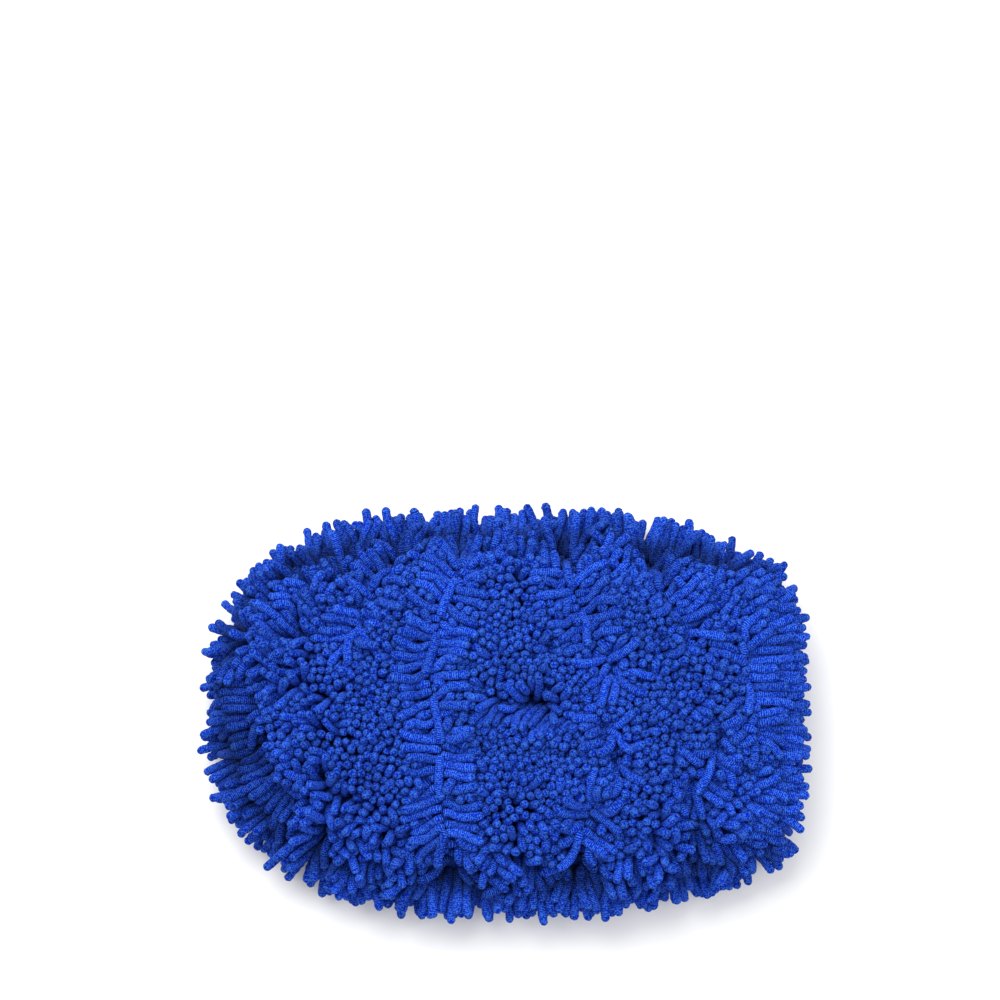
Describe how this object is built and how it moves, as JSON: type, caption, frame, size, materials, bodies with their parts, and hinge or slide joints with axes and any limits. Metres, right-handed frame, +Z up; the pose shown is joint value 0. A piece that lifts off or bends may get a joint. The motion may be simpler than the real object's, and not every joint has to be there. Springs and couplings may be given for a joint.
{
  "type": "wash mitt",
  "caption": "Pouch-shaped wash mitt with a chenille noodle pile on both faces, a knitted lining, an elastic knit cuff and a small hanging loop.",
  "frame": {"origin": "on the surface that the mitt lies on, under the middle of its bounding box", "axes": "+X from the toe to the hand opening, +Y across the mitt, +Z up from the back pile to the front pile"},
  "size_m": [0.26, 0.18, 0.056],
  "materials": {
    "chenille": "soft looped chenille yarn",
    "ground_knit": "knitted ground cloth",
    "lining_knit": "smooth fine knit",
    "rib_knit": "ribbed knit",
    "elastic": "covered elastic",
    "webbing": "narrow woven tape",
    "thread": "polyester sewing thread",
    "label_satin": "blank woven satin"
  },
  "bodies": {
    "back_half": {"back_pile": "chenille", "back_panel": "ground_knit", "back_lining": "lining_knit", "shell_seam_thread": "thread", "lining_seam_thread": "thread", "cuff_knit": "rib_knit", "cuff_elastic": "elastic", "cuff_join_thread": "thread", "cuff_topstitch": "thread", "care_label": "label_satin", "label_stitch": "thread", "loop_bartack": "thread"},
    "front_half": {"front_pile": "chenille", "front_panel": "ground_knit", "front_lining": "lining_knit"},
    "loop": {"hang_loop": "webbing"}
  },
  "joints": [
    {"name": "mouth_open", "type": "hinge", "parent": "back_half", "child": "front_half", "pos_m": [-0.108, 0, 0.0215], "axis": [0, -1, 0], "range_deg": [0, 8], "deforming": ["cuff_knit", "cuff_elastic", "cuff_join_thread", "cuff_topstitch"]},
    {"name": "loop_swing", "type": "hinge", "parent": "back_half", "child": "loop", "pos_m": [0.1235, -0.042, 0.0228], "axis": [0, 0, -1], "range_deg": [0, 100]}
  ]
}
